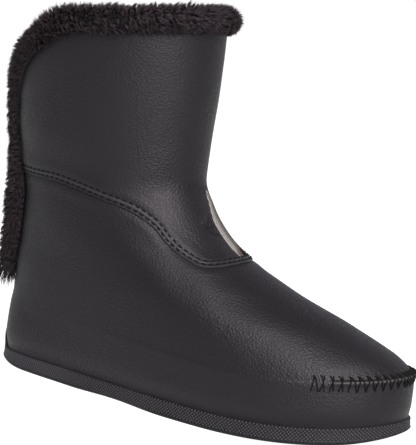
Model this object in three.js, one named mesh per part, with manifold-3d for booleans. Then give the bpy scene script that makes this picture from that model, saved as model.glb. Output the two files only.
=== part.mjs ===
// A slip-on winter ski boot for the right foot: soft leather over a flexible rubber cup sole, a moccasin toe,
// a V-shaped elastic gore at the instep, and a fur strip that runs round the collar and down both sides of
// the slit at the back. Millimetres, +X towards the toe, +Y towards the inner side of the foot, +Z up.
import * as THREE from "three";
import { mergeVertices } from "three/addons/utils/BufferGeometryUtils.js";
import Module from "manifold-3d";

const wasm = await Module();
wasm.setup();

// Driving dimensions of the last
const footLength = 280; // back of the heel to the tip of the toe, over the leather
const ballWidth = 98.5; // widest place, over the leather
const toeEdgeHeight = 37.5; // floor to the moccasin seam, before the toe spring
const instepHeight = 95; // floor to the throat at the foot of the shaft
const collarFrontHeight = 222;
const counterHeight = 46; // floor to the top of the heel cup
const ankleHeight = 106; // floor to the narrowest place at the back
const collarBackHeight = 206;
const toeSwing = 8.2; // how far the tip turns to the inner side
const toeSpring = 8.5; // how far the tip of the sole lifts off the floor
const springStart = 0.625; // share of the length where the toe begins to lift
const swingStart = 0.45; // share of the length where the toe begins to turn
const heelSeat = 38; // back of the heel to the part's origin, under the middle of the heel

// Driving dimensions of the pieces
const leatherWall = 2.4;
const overlayStep = 1.1; // the shaft's leather lies on the foot's leather by this much
const mocRidge = 1; // raised edge of the moccasin seam
const mocHollow = 0.9; // how far the plug lies under that edge
const soleFloor = 5.2; // rubber under the foot
const rimHeight = 9.6; // top of the sole's side band over its underside
const rubberLip = 2; // thickness of the cup's rim
const soleSpread = 2.6; // how far the sole stands out past the foot's edge
const soleRound = 1.8; // rounding of its lower edge
const treadLayer = 3; // height of the step low on the sole's side
const treadStep = 0.5;
const archLift = 1.2; // hollow under the waist of the sole
const heelBevel = 3.2; // lift of the sole's lower edge at the back of the heel
const bevelReach = 22; // how far forward of the back that lift begins
const grooveDepth = 1.6;
const grooveWidth = 3.4;
const groovePitch = 10.5;
const grooveMargin = 9; // rubber left whole between a groove's end and the sole's edge
const heelTab = 11; // extra height of the rim at the back of the heel
const heelTabTurn = 20; // half of its reach round the heel, in degrees of turn
const gap = 0.3; // between pieces that meet
const cupEase = 0.55; // the leather's clearance in the sole's cup, and the insole's in the leather
const insoleThick = 4.5;
const goreThick = 1.4;
const goreBulge = 0.8; // how far the middle of the elastic stands out past its edges
const furRadius = 6.4; // core of the fur roll
const lockLength = 3.4; // how far a lock of fur reaches past the core
const lockPitch = 5.6; // from one ring of locks to the next
const lockLean = 2.6; // how far a lock's tip is combed along the roll

// One row for each level of the last, from the feather edge to the collar. zone picks the span of heights
// that rise is a share of; front and back are shares of footLength; outer and inner are half widths as
// shares of ballWidth; peak is where along a level it is widest; taper is how much the heel end narrows;
// heelPower and toePower say how square its two ends are.
const [wall, vamp, shaft] = [0, 1, 2];
const lastColumns = [
  "zone", "rise", "front", "back", "outer", "inner", "peak", "taper", "heelPower", "toePower",
];
const lastRows = [
  [wall, 0, 0.984, 0.0245, 0.469, 0.438, 0.68, 0.38, 14, 2.4],
  [wall, 0.15, 0.9865, 0.023, 0.476, 0.446, 0.68, 0.38, 14, 2.35],
  [wall, 0.42, 0.998, 0.0195, 0.509, 0.479, 0.68, 0.37, 13, 2.3],
  [wall, 0.85, 0.9975, 0.0215, 0.511, 0.481, 0.67, 0.345, 9.5, 2.2],
  [vamp, 0, 0.9925, 0.0245, 0.504, 0.472, 0.66, 0.315, 8.3, 2.1],
  [vamp, 0.367, 0.8625, 0.0285, 0.474, 0.444, 0.64, 0.24, 6, 2],
  [vamp, 0.65, 0.72, 0.034, 0.441, 0.421, 0.6, 0.16, 4.2, 2],
  [shaft, 0, 0.568, 0.0345, 0.415, 0.405, 0.56, 0.06, 2.8, 2],
  [shaft, 0.165, 0.4985, 0.031, 0.403, 0.399, 0.54, 0.02, 2.4, 2],
  [shaft, 0.312, 0.469, 0.024, 0.41, 0.409, 0.52, 0, 2.2, 2],
  [shaft, 0.48, 0.4705, 0.0151, 0.435, 0.435, 0.5, 0, 2.1, 2],
  [shaft, 0.735, 0.478, 0.0092, 0.456, 0.456, 0.5, 0, 2.1, 2],
  [shaft, 1, 0.4805, 0.0007, 0.477, 0.477, 0.5, 0, 2.1, 2],
].map((values) => Object.fromEntries(values.map((value, i) => [lastColumns[i], value])));
const collarRow = lastRows.length - 1;
const mocRow = 3.5; // row of the moccasin seam

// Height of the shaft's stitched lower edge as seen from the side: along is a share of footLength, drop is
// how far the edge lies under its highest place, as a share of seamFall.
const seamLift = 18.5; // its highest place over ankleHeight
const seamFall = 36.5; // from there down to the instep
const seamTable = [
  { along: 0, drop: 0.03 },
  { along: 0.18, drop: 0 },
  { along: 0.255, drop: 0.06 },
  { along: 0.319, drop: 0.16 },
  { along: 0.38, drop: 0.27 },
  { along: 0.435, drop: 0.47 },
  { along: 0.472, drop: 0.7 },
  { along: 0.51, drop: 0.87 },
  { along: 0.565, drop: 1 },
  { along: 0.62, drop: 0.9 },
];

// Half opening of the slit at the back by row, in degrees of turn from the back centre line.
const slitTable = [
  { row: 4.3, turn: 12.5 },
  { row: 4.9, turn: 15 },
  { row: 6, turn: 18.5 },
  { row: 7.05, turn: 27.5 },
  { row: 7.6, turn: 30 },
  { row: 9.7, turn: 29.8 },
  { row: 10.6, turn: 32 },
  { row: 11.1, turn: 42 },
  { row: 11.5, turn: 55 },
  { row: 11.72, turn: 66 },
  { row: 11.9, turn: 76 },
  { row: 12, turn: 84 },
];
const slitRow = slitTable[0].row;

// Half width of the gore's V in degrees of turn from its own centre line, by share of the way from the
// shaft's lower edge to the collar. The centre line lies to the inner side, on the ridge of the instep.
const goreCentre = 10.5;
const goreTable = [
  { share: 0.035, turn: 11 },
  { share: 0.12, turn: 12.5 },
  { share: 0.185, turn: 12.5 },
  { share: 0.25, turn: 9.5 },
  { share: 0.32, turn: 4 },
  { share: 0.375, turn: 1.2 },
];
const goreFoot = goreTable[0].share;
const goreApex = goreTable[goreTable.length - 1].share;

// How far the fur roll's centre line stands out from the leather's face, by row, as a share of furRadius.
const standTable = [
  { row: 4.3, stand: 0.5 },
  { row: 6, stand: 0.55 },
  { row: 7.4, stand: 0.35 },
  { row: 8.8, stand: -0.08 },
  { row: 10, stand: -0.3 },
  { row: 12, stand: -0.3 },
];

const radians = (degrees) => (degrees * Math.PI) / 180;
const clamp = (value, low, high) => Math.min(high, Math.max(low, value));
const mix = (a, b, share) => a + (b - a) * share;
const smooth = (share) => {
  const s = clamp(share, 0, 1);
  return s * s * (3 - 2 * s);
};

// A curve through (x, y) knots that never overshoots them: a cubic whose slope at a knot is the harmonic
// mean of its two neighbours' slopes, and level at a turning point.
function curveThrough(xs, ys) {
  const last = xs.length - 1;
  const rises = xs.slice(1).map((x, i) => (ys[i + 1] - ys[i]) / (x - xs[i]));
  const slopes = xs.map((x, i) => {
    if (i === 0) return rises[0];
    if (i === last) return rises[last - 1];
    const [a, b] = [rises[i - 1], rises[i]];
    return a * b > 0 ? (2 * a * b) / (a + b) : 0;
  });
  return (x) => {
    let i = 0;
    while (i < last - 1 && x > xs[i + 1]) i += 1;
    const width = xs[i + 1] - xs[i];
    const f = clamp((x - xs[i]) / width, 0, 1);
    const [f2, f3] = [f * f, f * f * f];
    return (
      (2 * f3 - 3 * f2 + 1) * ys[i] +
      (f3 - 2 * f2 + f) * width * slopes[i] +
      (3 * f2 - 2 * f3) * ys[i + 1] +
      (f3 - f2) * width * slopes[i + 1]
    );
  };
}
const curveOf = (table, x, y) => curveThrough(table.map((row) => row[x]), table.map((row) => row[y]));

const frontLevels = [soleFloor + gap, toeEdgeHeight, instepHeight, collarFrontHeight];
const backLevels = [soleFloor + gap, counterHeight, ankleHeight, collarBackHeight];
const levelOf = (levels, row) => mix(levels[row.zone], levels[row.zone + 1], row.rise);
const rowNumbers = lastRows.map((row, i) => i);
const byRow = (value) => curveThrough(rowNumbers, lastRows.map(value));
const last = {
  frontZ: byRow((row) => levelOf(frontLevels, row)),
  backZ: byRow((row) => levelOf(backLevels, row)),
  frontX: byRow((row) => row.front * footLength),
  backX: byRow((row) => row.back * footLength),
  outer: byRow((row) => row.outer * ballWidth),
  inner: byRow((row) => row.inner * ballWidth),
  peak: byRow((row) => row.peak),
  taper: byRow((row) => row.taper),
  heelPower: byRow((row) => row.heelPower),
  toePower: byRow((row) => row.toePower),
};
const slitTurn = curveOf(slitTable, "row", "turn");
const goreTurn = curveOf(goreTable, "share", "turn");
const seamDrop = curveOf(seamTable, "along", "drop");
const furStand = curveOf(standTable, "row", "stand");

const springAt = (x) => toeSpring * clamp((x / footLength - springStart) / (1 - springStart), 0, 1.1) ** 2;
const swingAt = (x) => toeSwing * Math.max(0, (x / footLength - swingStart) / (1 - swingStart)) ** 2;

// A point of the leather's outer face. turn is in degrees, 0 at the toe, 90 on the inner side, 180 at the
// back and 270 on the outer side. Each level is an oval whose two ends have their own squareness.
function lastPoint(row, turn) {
  const share = (1 + Math.cos(radians(turn))) / 2;
  const peak = last.peak(row);
  const x = mix(last.backX(row), last.frontX(row), share);
  const z = mix(last.backZ(row), last.frontZ(row), share);
  const ahead = clamp((share - peak) / (1 - peak), 0, 1);
  const behind = clamp((peak - share) / peak, 0, 1);
  const fullness =
    share >= peak
      ? Math.sqrt(1 - ahead ** last.toePower(row))
      : (1 - last.taper(row) * smooth(behind)) * Math.sqrt(Math.max(0, 1 - behind ** last.heelPower(row)));
  const side = Math.sin(radians(turn)) < 0 ? -last.outer(row) : last.inner(row);
  return new THREE.Vector3(x, side * fullness + swingAt(x), z + springAt(x));
}

// The outward direction of that face, from small steps along it both ways.
function lastNormal(row, turn) {
  const [dr, dt] = [0.02, 0.8];
  const up = lastPoint(Math.min(row + dr, collarRow), turn).sub(lastPoint(Math.max(row - dr, 0), turn));
  const round = lastPoint(row, turn + dt).sub(lastPoint(row, turn - dt));
  return round.cross(up).normalize();
}

// The outward direction of a level's outline in plan.
function planNormal(row, turn) {
  const along = lastPoint(row, turn + 0.8).sub(lastPoint(row, turn - 0.8));
  return new THREE.Vector3(along.y, -along.x, 0).normalize();
}

// The row at which a curve up the boot passes a height that depends on where it is, by halving.
function rowWhere(turnAt, isBelow, low = 0, high = collarRow) {
  for (let i = 0; i < 30; i += 1) {
    const middle = (low + high) / 2;
    if (isBelow(lastPoint(middle, turnAt(middle)))) low = middle;
    else high = middle;
  }
  return (low + high) / 2;
}
const seamHeight = (x) => ankleHeight + seamLift - seamFall * seamDrop(x / footLength);
const isUnderSeam = (p) => p.z < seamHeight(p.x);

// The boot's columns: they run from sole to collar and keep to the slit's and the gore's edges. Each has a
// piece name and turnAt(row, share), share being its place between the shaft's lower edge and the collar.
const goreCells = 2; // on each side of the gore's centre line
const sideCells = 16;
const slitCells = 6;
const goreSpread = 10; // half width at the collar of the columns over the gore
function goreEdge(share) {
  const over = clamp((share - goreApex) / (1 - goreApex), 0, 1);
  return mix(goreTurn(clamp(share, goreFoot, goreApex)), goreSpread, smooth(over));
}
const slitEdge = (row) => slitTurn(clamp(row, slitRow, collarRow));
function makeColumns() {
  const columns = [];
  const span = (piece, cells, from, to) => {
    for (let i = 0; i < cells; i += 1)
      columns.push({ piece, turnAt: (row, share) => mix(from(row, share), to(row, share), i / cells) });
  };
  span("gore", goreCells, () => goreCentre, (row, share) => goreCentre + goreEdge(share));
  span("side", sideCells, (row, share) => goreCentre + goreEdge(share), (row) => 180 - slitEdge(row));
  span("slit", slitCells, (row) => 180 - slitEdge(row), (row) => 180 + slitEdge(row));
  span("side", sideCells, (row) => 180 + slitEdge(row), (row, share) => 360 + goreCentre - goreEdge(share));
  span("gore", goreCells, (row, share) => 360 + goreCentre - goreEdge(share), () => 360 + goreCentre);
  for (const column of columns)
    column.seamRow = rowWhere((row) => column.turnAt(row, goreFoot), isUnderSeam, slitRow + 0.4, collarRow);
  return columns;
}

// The boot's levels, each a function of a column's seam row. Where two levels share a row, the second
// stands out by the step of the shaft's leather.
const mocHalf = 0.16; // half width of the moccasin ridge, in rows
const seamGap = 0.02; // between the two rows of that step
const footLevels = 6;
const shaftShares = [0.46, 0.56, 0.66, 0.75, 0.82, 0.88, 0.93, 0.97, 1];
function makeLevels() {
  const levels = [];
  const add = (rowOf, share, lift) => levels.push({ rowOf, share, lift });
  for (const row of [0, 0.5, 1, 1.5, 2, 2.7]) add(() => row, goreFoot, 0);
  for (const row of [mocRow - mocHalf, mocRow, mocRow + mocHalf, 4]) add(() => row, goreFoot, 0);
  for (let i = 0; i <= footLevels; i += 1) add((seam) => mix(slitRow, seam, i / footLevels), goreFoot, 0);
  for (const share of [0, ...goreTable.map((row) => row.share), ...shaftShares])
    add((seam) => mix(seam + seamGap, collarRow, share), share, overlayStep);
  return levels;
}

// How far the toe's moccasin seam stands out or in: a ridge on the seam and a hollow over it, both fading
// out along the sides of the toe.
const mocStart = 0.865;
const mocFull = 0.92;
function mocLift(row, x) {
  const reach = smooth((x / footLength - mocStart) / (mocFull - mocStart));
  const offSeam = (row - mocRow) / mocHalf;
  const ridge = mocRidge * Math.max(0, 1 - Math.abs(offSeam));
  const hollow = offSeam > 0 ? -mocHollow * Math.min(1, offSeam) * (1 - smooth((offSeam - 1) / 5)) : 0;
  return reach * (ridge + hollow);
}

// A closed geometry from vertices and triangles.
function geometryOf(points, triangles) {
  const geometry = new THREE.BufferGeometry();
  geometry.setAttribute("position", new THREE.Float32BufferAttribute(points.flatMap((p) => [p.x, p.y, p.z]), 3));
  geometry.setIndex(triangles);
  return geometry;
}

// A shell between an outer and an inner grid of points, grid[level][column]. keep(level, column) says
// whether a cell is there; every edge of what is kept is closed by a rim. round joins the last column to
// the first.
function shellOf(outer, inner, keep, round) {
  const levels = outer.length;
  const columns = outer[0].length;
  const points = [...outer.flat(), ...inner.flat()];
  const inside = levels * columns;
  const at = (level, column) => level * columns + (column % columns);
  const cells = round ? columns : columns - 1;
  const isKept = (level, column) => {
    if (level < 0 || level >= levels - 1) return false;
    if (!round && (column < 0 || column >= cells)) return false;
    return keep(level, (column + columns) % columns);
  };
  const triangles = [];
  const quad = (a, b, c, d) => triangles.push(a, b, c, a, c, d);
  for (let l = 0; l < levels - 1; l += 1)
    for (let c = 0; c < cells; c += 1) {
      if (!isKept(l, c)) continue;
      const [a, b, d, e] = [at(l, c), at(l, c + 1), at(l + 1, c + 1), at(l + 1, c)];
      quad(a, b, d, e);
      quad(inside + a, inside + e, inside + d, inside + b);
      if (!isKept(l - 1, c)) quad(a, inside + a, inside + b, b);
      if (!isKept(l + 1, c)) quad(e, d, inside + d, inside + e);
      if (!isKept(l, c - 1)) quad(a, e, inside + e, inside + a);
      if (!isKept(l, c + 1)) quad(b, inside + b, inside + d, d);
    }
  return geometryOf(points, triangles);
}

// The leather upper: foot, toe and shaft in one wall, open under the foot, at the collar, down the slit at
// the back and in the gore's V.
function makeUpper() {
  const columns = makeColumns();
  const levels = makeLevels();
  const slitLevel = levels.findIndex((level) => level.rowOf(collarRow) === slitRow);
  const shareLevel = (share) => levels.findIndex((level) => level.lift > 0 && level.share === share);
  const [footLevel, apexLevel] = [shareLevel(goreFoot), shareLevel(goreApex)];
  const outer = [];
  const inner = [];
  for (const level of levels) {
    const places = columns.map((column) => {
      const row = level.rowOf(column.seamRow);
      const turn = column.turnAt(row, level.share);
      return { point: lastPoint(row, turn), normal: lastNormal(row, turn), row };
    });
    const face = places.map(({ point, normal, row }) =>
      point.clone().addScaledVector(normal, level.lift + mocLift(row, point.x)),
    );
    outer.push(face);
    inner.push(places.map(({ point, normal }) => point.clone().addScaledVector(normal, -leatherWall)));
  }
  const keep = (l, c) => {
    if (columns[c].piece === "slit") return l < slitLevel;
    if (columns[c].piece === "gore") return l < footLevel || l >= apexLevel;
    return true;
  };
  return shellOf(outer, inner, keep, true);
}

// The elastic in the V: a bowed patch that keeps the gap to the leather's edges.
function makeGore() {
  const seamRow = (turn) => rowWhere(() => turn, isUnderSeam, slitRow, collarRow);
  const [cells, inset] = [4, 0.9]; // inset in degrees of turn
  const trim = (gap * 1.4) / (collarFrontHeight - instepHeight);
  const outer = [];
  const inner = [];
  goreTable.forEach(({ share, turn: half }, i) => {
    const isEnd = i === 0 || i === goreTable.length - 1;
    const place = isEnd ? share + (i === 0 ? trim : -trim) : share;
    const reach = Math.max(0.5, half - inset);
    const cuts = Array.from({ length: cells + 1 }, (_, k) => (2 * k) / cells - 1);
    const face = (offset) => cuts.map((cut) => {
      const turn = goreCentre + cut * reach;
      const row = mix(seamRow(goreCentre + cut * half) + seamGap, collarRow, place);
      const lift = overlayStep * 0.3 + goreBulge * (1 - cut * cut) * (isEnd ? 0.3 : 1);
      return lastPoint(row, turn).addScaledVector(lastNormal(row, turn), lift + offset);
    });
    outer.push(face(0));
    inner.push(face(-goreThick));
  });
  return shellOf(outer, inner, () => true, false);
}

// A point on the edge of the foot, some way out from it and some height over the floor. The floor itself
// rises at the toe.
function edgePoint(turn, out, height) {
  const point = lastPoint(0, turn).addScaledVector(planNormal(0, turn), out);
  point.z = springAt(point.x) + height;
  return point;
}

// A solid from rings of points that run round the foot, closed across the foot at the first and the last
// ring. Point i and point count - i of a ring lie at the same place along the foot.
function ladderSolid(rings) {
  const count = rings[0].length;
  const triangles = [];
  for (let r = 0; r < rings.length - 1; r += 1)
    for (let i = 0; i < count; i += 1) {
      const next = (i + 1) % count;
      const [a, b, c, d] = [r * count + i, r * count + next, (r + 1) * count + next, (r + 1) * count + i];
      triangles.push(a, b, c, a, c, d);
    }
  const across = (base, flip) => {
    const push = (a, b, c) => triangles.push(...(flip ? [base + a, base + c, base + b] : [base + a, base + b, base + c]));
    for (let i = 0; i < count / 2; i += 1) {
      const [left, leftNext] = [i, i + 1];
      const [right, rightNext] = [(count - i) % count, count - i - 1];
      if (left !== right) push(left, leftNext, right);
      if (leftNext !== rightNext) push(leftNext, rightNext, right);
    }
  };
  across(0, true);
  across((rings.length - 1) * count, false);
  return geometryOf(rings.flat(), triangles);
}
const turnsRound = (count) => Array.from({ length: count }, (_, i) => (360 * i) / count);

// The cup sole: a floor with a rounded lower edge, a step low on its side, and a rim that the foot sits in,
// drawn up into a tab at the back of the heel.
const archStart = 0.27;
const archEnd = 0.53;
function archAt(x) {
  const share = clamp((x / footLength - archStart) / (archEnd - archStart), 0, 1);
  return archLift * Math.sin(Math.PI * share) ** 2;
}
const heelEnd = lastRows[0].back * footLength - soleSpread;
const bevelAt = (x) => heelBevel * clamp((heelEnd + bevelReach - x) / bevelReach, 0, 1) ** 2;
function rimPoint(turn, out, drop) {
  const tab = heelTab * smooth(1.6 * (1 - Math.abs(turn - 180) / heelTabTurn));
  const isUnderRim = (p) => p.z - springAt(p.x) < rimHeight + tab;
  const row = rowWhere(() => turn, isUnderRim, 0, mocRow);
  const point = lastPoint(row, turn).addScaledVector(planNormal(row, turn), out);
  point.z -= drop;
  return { point, row };
}
function makeOutsole() {
  const turns = turnsRound(72);
  const under = (turn, out, height) => {
    const point = edgePoint(turn, out, height);
    point.z += archAt(point.x) + bevelAt(point.x);
    return point;
  };
  const side = (turn, out, height) => {
    const point = edgePoint(turn, out, height);
    point.z += bevelAt(point.x) * 0.6;
    return point;
  };
  const rimOut = cupEase + rubberLip;
  const rings = [
    turns.map((turn) => under(turn, soleSpread - soleRound, 0)),
    turns.map((turn) => under(turn, soleSpread - soleRound * 0.3, soleRound * 0.3)),
    turns.map((turn) => under(turn, soleSpread, soleRound)),
    turns.map((turn) => side(turn, soleSpread, treadLayer)),
    turns.map((turn) => side(turn, soleSpread - treadStep, treadLayer + treadStep * 0.6)),
    turns.map((turn) => rimPoint(turn, rimOut, rubberLip * 0.5).point),
    turns.map((turn) => rimPoint(turn, rimOut - rubberLip * 0.35, 0).point),
    turns.map((turn) => rimPoint(turn, cupEase, 0).point),
    turns.map((turn) => {
      const row = rimPoint(turn, cupEase, 0).row / 2;
      return lastPoint(row, turn).addScaledVector(planNormal(row, turn), cupEase);
    }),
    turns.map((turn) => edgePoint(turn, cupEase, soleFloor)),
  ];
  const bars = [];
  const behind = Math.floor((heelSeat - heelEnd) / groovePitch);
  for (let x = heelSeat - (behind - 0.5) * groovePitch; x < footLength - grooveMargin; x += groovePitch) {
    const share = (x / footLength - lastRows[0].back) / (lastRows[0].front - lastRows[0].back);
    const turn = (Math.acos(clamp(2 * share - 1, -1, 1)) * 180) / Math.PI;
    const [innerEdge, outerEdge] = [edgePoint(turn, 0, 0), edgePoint(360 - turn, 0, 0)];
    const length = innerEdge.y - outerEdge.y - 2 * grooveMargin;
    if (length < grooveMargin) continue;
    const bar = new THREE.BoxGeometry(grooveWidth, length, 2 * grooveDepth);
    bar.rotateY(-Math.atan(springAt(x + 0.5) - springAt(x - 0.5)));
    bar.translate(x, (innerEdge.y + outerEdge.y) / 2, springAt(x) + archAt(x) + bevelAt(x));
    bars.push(solidOf(bar));
  }
  return geometryFrom(solidOf(ladderSolid(rings)).subtract(wasm.Manifold.union(bars)));
}

// The insole lies on the sole's floor, inside the leather.
function makeInsole() {
  const turns = turnsRound(48);
  const out = -(leatherWall + cupEase);
  const base = soleFloor + gap;
  const [round, inset] = [1.2, 0.8];
  return ladderSolid([
    turns.map((turn) => edgePoint(turn, out, base)),
    turns.map((turn) => edgePoint(turn, out, base + insoleThick - round)),
    turns.map((turn) => edgePoint(turn, out - inset, base + insoleThick)),
  ]);
}

// Solids for joins and cuts.
function solidOf(geometry) {
  const bare = new THREE.BufferGeometry();
  bare.setAttribute("position", geometry.getAttribute("position"));
  bare.setIndex(geometry.getIndex());
  const merged = mergeVertices(bare, 1e-4);
  return new wasm.Manifold(
    new wasm.Mesh({
      numProp: 3,
      vertProperties: Float32Array.from(merged.getAttribute("position").array),
      triVerts: Uint32Array.from(merged.getIndex().array),
    }),
  );
}
function geometryFrom(solid) {
  const mesh = solid.getMesh();
  const geometry = new THREE.BufferGeometry();
  geometry.setAttribute("position", new THREE.BufferAttribute(Float32Array.from(mesh.vertProperties), 3));
  geometry.setIndex(new THREE.BufferAttribute(Uint32Array.from(mesh.triVerts), 1));
  return geometry;
}

// The centre line of one half of the fur roll, from the foot of the slit up its edge and along the collar to
// the front. side is 1 on the inner side of the foot and -1 on the outer. Each place has the centre, the
// way along, the way out from the leather and the way past its cut edge.
const furStartRow = slitRow + 0.25;
function furPlaces(side) {
  const [slitSteps, collarSteps] = [160, 160];
  const spots = [];
  for (let i = 0; i < slitSteps; i += 1) {
    const row = mix(furStartRow, collarRow, i / slitSteps);
    spots.push({ row, turn: 180 - side * slitEdge(row) });
  }
  for (let i = 0; i <= collarSteps; i += 1)
    spots.push({ row: collarRow, turn: mix(180 - side * slitEdge(collarRow), side > 0 ? 0 : 360, i / collarSteps) });
  const edges = spots.map(({ row, turn }) => lastPoint(row, turn));
  return spots.map(({ row, turn }, i) => {
    const isFront = i === spots.length - 1;
    const [before, after] = [edges[Math.max(0, i - 4)], edges[Math.min(spots.length - 1, i + 4)]];
    const along = isFront ? new THREE.Vector3(0, -side, 0) : after.clone().sub(before).normalize();
    const out = lastNormal(row, isFront ? 0 : turn);
    if (isFront) out.y = 0;
    out.addScaledVector(along, -out.dot(along)).normalize();
    const past = along.clone().cross(out).multiplyScalar(side);
    const face = overlayStep * smooth((edges[i].z - seamHeight(edges[i].x) + 4) / 8);
    const stand = furStand(row) * furRadius + face;
    const reach = furRadius + gap;
    const over = Math.max(0, stand - face);
    const rise = Math.sqrt(reach * reach - over * over);
    const centre = edges[i].clone().addScaledVector(out, stand).addScaledVector(past, rise);
    if (isFront) centre.y = 0;
    return { centre, along, out, past };
  });
}

// Every nth place along the centre line, a pitch apart, and the last.
function spaced(places, pitch) {
  const kept = [places[0]];
  let walked = 0;
  const total = places.slice(1).reduce((sum, place, i) => sum + place.centre.distanceTo(places[i].centre), 0);
  const step = total / Math.round(total / pitch);
  for (let i = 1; i < places.length; i += 1) {
    walked += places[i].centre.distanceTo(places[i - 1].centre);
    if (walked >= step * kept.length - 0.01 && i < places.length - 1) kept.push(places[i]);
  }
  kept.push(places[places.length - 1]);
  return kept;
}

// Half of the roll, closed to a blunt tip at the foot of the slit. Its core is round in section, and every
// second point of its skin is drawn out into a lock of fur that is combed along the roll, apart from those
// that face the leather's edge.
const furSides = 12;
const seatHalf = 52; // half of the bare side towards the leather, in degrees round the core
function furHalf(places, side) {
  const points = [];
  const triangles = [];
  places.forEach(({ centre, along, out, past }, i) => {
    const isEnd = i === 0 || i === places.length - 1;
    for (let k = 0; k < furSides; k += 1) {
      const angle = (360 * (k + 0.5)) / furSides;
      const isLock = !isEnd && (i + k) % 2 === 0 && Math.abs(angle - 180) > seatHalf;
      const reach = furRadius + (isLock ? lockLength : 0);
      points.push(centre.clone()
        .addScaledVector(past, reach * Math.cos(radians(angle)))
        .addScaledVector(out, reach * Math.sin(radians(angle)))
        .addScaledVector(along, isLock ? lockLean : 0));
    }
  });
  const push = (a, b, c) => triangles.push(...(side < 0 ? [a, b, c] : [a, c, b]));
  for (let i = 0; i < places.length - 1; i += 1)
    for (let k = 0; k < furSides; k += 1) {
      const next = (k + 1) % furSides;
      const [a, b] = [i * furSides + k, i * furSides + next];
      const [c, d] = [b + furSides, a + furSides];
      if ((i + k) % 2 === 0) {
        push(a, b, c);
        push(a, c, d);
      } else {
        push(a, b, d);
        push(b, c, d);
      }
    }
  const [foot, front] = [points.length, points.length + 1];
  points.push(places[0].centre.clone().addScaledVector(places[0].along, -furRadius * 0.8));
  points.push(places[places.length - 1].centre.clone());
  const lastRing = (places.length - 1) * furSides;
  for (let k = 0; k < furSides; k += 1) {
    const next = (k + 1) % furSides;
    push(foot, next, k);
    push(front, lastRing + k, lastRing + next);
  }
  return geometryOf(points, triangles);
}
function makeFur() {
  const halves = [1, -1].map((side) => solidOf(furHalf(spaced(furPlaces(side), lockPitch), side)));
  return geometryFrom(halves[0].add(halves[1]));
}

const boot = new THREE.Group();
boot.position.x = -heelSeat;
const add = (name, geometry, color, roughness) => {
  const mesh = new THREE.Mesh(geometry, new THREE.MeshStandardMaterial({ color, roughness, metalness: 0 }));
  mesh.name = name;
  boot.add(mesh);
};
add("outsole", makeOutsole(), 0x3c3a3d, 0.8);
add("insole", makeInsole(), 0x1d1b1c, 0.95);
add("upper", makeUpper(), 0x2c2b2d, 0.5);
add("gore", makeGore(), 0x8b8986, 0.85);
add("fur_trim", makeFur(), 0x1f1a1c, 0.95);

export default boot;
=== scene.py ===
# A soft winter ski boot for the right foot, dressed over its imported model: black grained leather with a
# double-stitched shaft and a hand-sewn moccasin toe, a grey elastic gore, dark plush fur round the collar
# and down the slit at the back, and a knurled rubber cup sole. Shapes are worked out in millimetres from
# the back of the heel, and moved to the part's frame in metres when a mesh is made.
import math

import bpy
import numpy as np
from mathutils import Matrix, Vector


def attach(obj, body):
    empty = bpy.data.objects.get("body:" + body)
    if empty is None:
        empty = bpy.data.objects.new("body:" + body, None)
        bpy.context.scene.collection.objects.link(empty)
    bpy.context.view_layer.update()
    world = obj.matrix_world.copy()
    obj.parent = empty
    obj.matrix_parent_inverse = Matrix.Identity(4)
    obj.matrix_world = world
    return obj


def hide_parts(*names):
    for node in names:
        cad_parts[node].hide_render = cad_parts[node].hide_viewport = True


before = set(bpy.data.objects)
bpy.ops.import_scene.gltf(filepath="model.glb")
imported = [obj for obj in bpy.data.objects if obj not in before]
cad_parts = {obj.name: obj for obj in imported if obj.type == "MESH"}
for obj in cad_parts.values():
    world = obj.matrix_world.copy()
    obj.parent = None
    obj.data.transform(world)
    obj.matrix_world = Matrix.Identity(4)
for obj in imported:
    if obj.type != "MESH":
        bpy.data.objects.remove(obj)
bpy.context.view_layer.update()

boot = {
    "length": 280, "width": 98.5,  # over the leather
    "toeEdge": 37.5, "instep": 95, "collarFront": 222,  # heights along the front
    "counter": 46, "ankle": 106, "collarBack": 206,  # heights along the back
    "swing": 8.2, "swingStart": 0.45,  # the toe turns to the inner side
    "spring": 8.5, "springStart": 0.625,  # and lifts off the floor
    "heelSeat": 38,  # back of the heel to the part's origin
    "floor": 5.2, "gap": 0.3,
    "collarRow": 12, "mocRow": 3.5, "slitRow": 4.3,
}

# zone, rise in it, front and back as shares of the length, outer and inner half widths as shares of the
# width, where it is widest, how much the heel end narrows, and how square the heel and the toe are; the
# first four fronts follow the photograph up to 2 mm past the solids
lastTable = np.array([
    [0, 0, 0.991, 0.0245, 0.469, 0.438, 0.68, 0.38, 14, 2.4],
    [0, 0.15, 0.993, 0.023, 0.476, 0.446, 0.68, 0.38, 14, 2.35],
    [0, 0.42, 0.9965, 0.0195, 0.509, 0.479, 0.68, 0.37, 13, 2.3],
    [0, 0.85, 0.996, 0.0215, 0.511, 0.481, 0.67, 0.345, 9.5, 2.2],
    [1, 0, 0.9925, 0.0245, 0.504, 0.472, 0.66, 0.315, 8.3, 2.1],
    [1, 0.367, 0.8625, 0.0285, 0.474, 0.444, 0.64, 0.24, 6, 2],
    [1, 0.65, 0.72, 0.034, 0.441, 0.421, 0.6, 0.16, 4.2, 2],
    [2, 0, 0.568, 0.0345, 0.415, 0.405, 0.56, 0.06, 2.8, 2],
    [2, 0.165, 0.4985, 0.031, 0.403, 0.399, 0.54, 0.02, 2.4, 2],
    [2, 0.312, 0.469, 0.024, 0.41, 0.409, 0.52, 0, 2.2, 2],
    [2, 0.48, 0.4705, 0.0151, 0.435, 0.435, 0.5, 0, 2.1, 2],
    [2, 0.735, 0.478, 0.0092, 0.456, 0.456, 0.5, 0, 2.1, 2],
    [2, 1, 0.4805, 0.0007, 0.477, 0.477, 0.5, 0, 2.1, 2],
])
# share of the length and share of the seam's whole drop
seamTable = np.array([
    [0, 0.03], [0.18, 0], [0.255, 0.06], [0.319, 0.16], [0.38, 0.27],
    [0.435, 0.47], [0.472, 0.7], [0.51, 0.87], [0.565, 1], [0.62, 0.9],
])
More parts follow.
